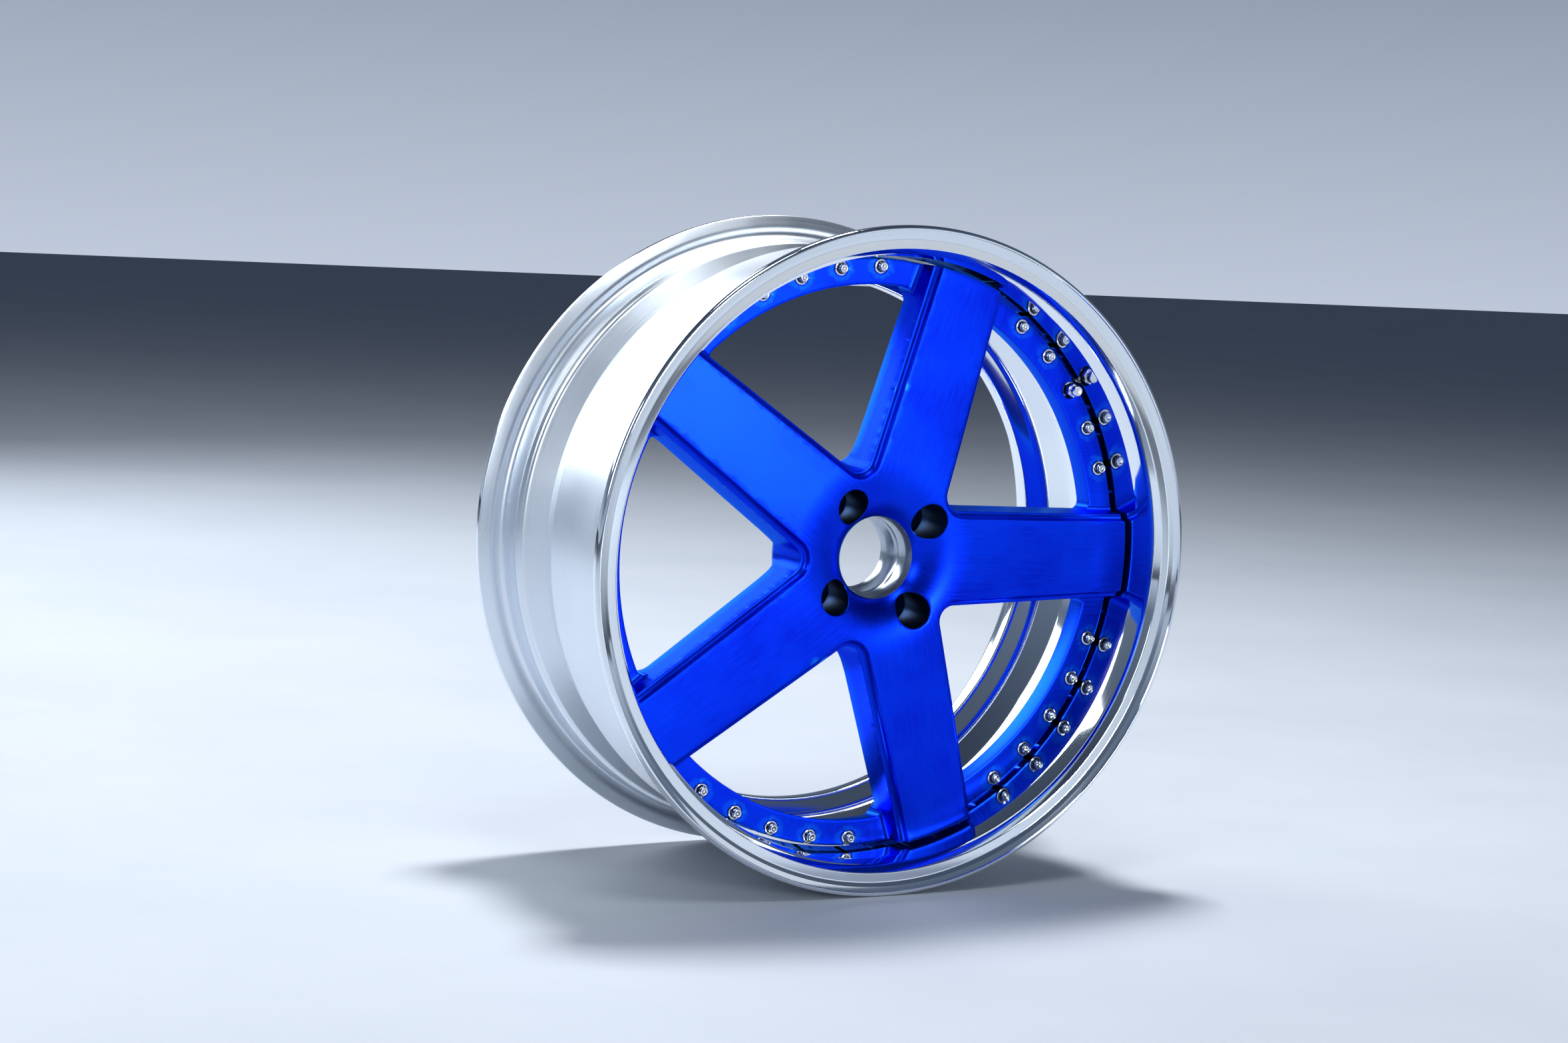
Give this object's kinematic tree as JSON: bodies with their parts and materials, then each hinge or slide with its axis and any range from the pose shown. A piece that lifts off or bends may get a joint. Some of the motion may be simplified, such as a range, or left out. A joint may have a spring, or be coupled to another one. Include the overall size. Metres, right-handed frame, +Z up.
{
  "type": "forged wheel rim",
  "caption": "Two-piece forged racing wheel: a deep-lipped polished barrel with a blue five-spoke centre disc bolted inside it, and a screwed-in tyre valve.",
  "frame": {"origin": "centre of the wheel's overall box, on its axis and midway between the two flanges", "axes": "+Y along the wheel's axis from the street side to the rear (vehicle) side, so the visible face looks towards -Y; +Z up; +X to the right seen from the street side, along one spoke"},
  "size_m": [0.5176, 0.228, 0.5174],
  "materials": {
    "barrel_alloy": "mirror-polished lip and inside, fine turned satin outside",
    "disc_blue": "satin electric blue coat over machined metal, bare in the centre bore",
    "bolt_chrome": "bright plated",
    "nut_steel": "zinc plated",
    "valve_metal": "plain machined",
    "cap_metal": "bright machined",
    "core_brass": "turned",
    "core_seal": "plain",
    "seal_rubber": "matt",
    "spring_steel": "drawn wire"
  },
  "bodies": {
    "wheel": {"rim_barrel": "barrel_alloy", "centre_disc": "disc_blue", "disc_hub": "disc_blue", "assembly_bolts_1": "bolt_chrome", "assembly_bolts_2": "bolt_chrome", "assembly_bolts_3": "bolt_chrome", "assembly_bolts_4": "bolt_chrome", "assembly_bolts_5": "bolt_chrome", "assembly_nuts_1": "nut_steel", "assembly_nuts_2": "nut_steel", "assembly_nuts_3": "nut_steel", "assembly_nuts_4": "nut_steel", "assembly_nuts_5": "nut_steel", "valve_stem": "valve_metal", "valve_base_seal": "seal_rubber", "valve_core_body": "core_brass", "valve_core_seal": "core_seal", "valve_core_spring": "spring_steel"},
    "core_pin": {"valve_core_pin": "core_brass", "valve_core_cup": "seal_rubber"},
    "cap": {"valve_cap": "cap_metal", "valve_cap_seal": "seal_rubber"}
  },
  "joints": [
    {"name": "valve_core_press", "type": "slide", "parent": "wheel", "child": "core_pin", "axis": [0, 1, 0], "range_m": [0, 0.0015], "stiffness_N_per_m": 200, "springref_m": -0.001, "deforming": ["valve_core_spring"]},
    {"name": "valve_cap_unscrew", "type": "slide", "parent": "wheel", "child": "cap", "axis": [0, -1, 0], "range_m": [0, 0.009]}
  ]
}
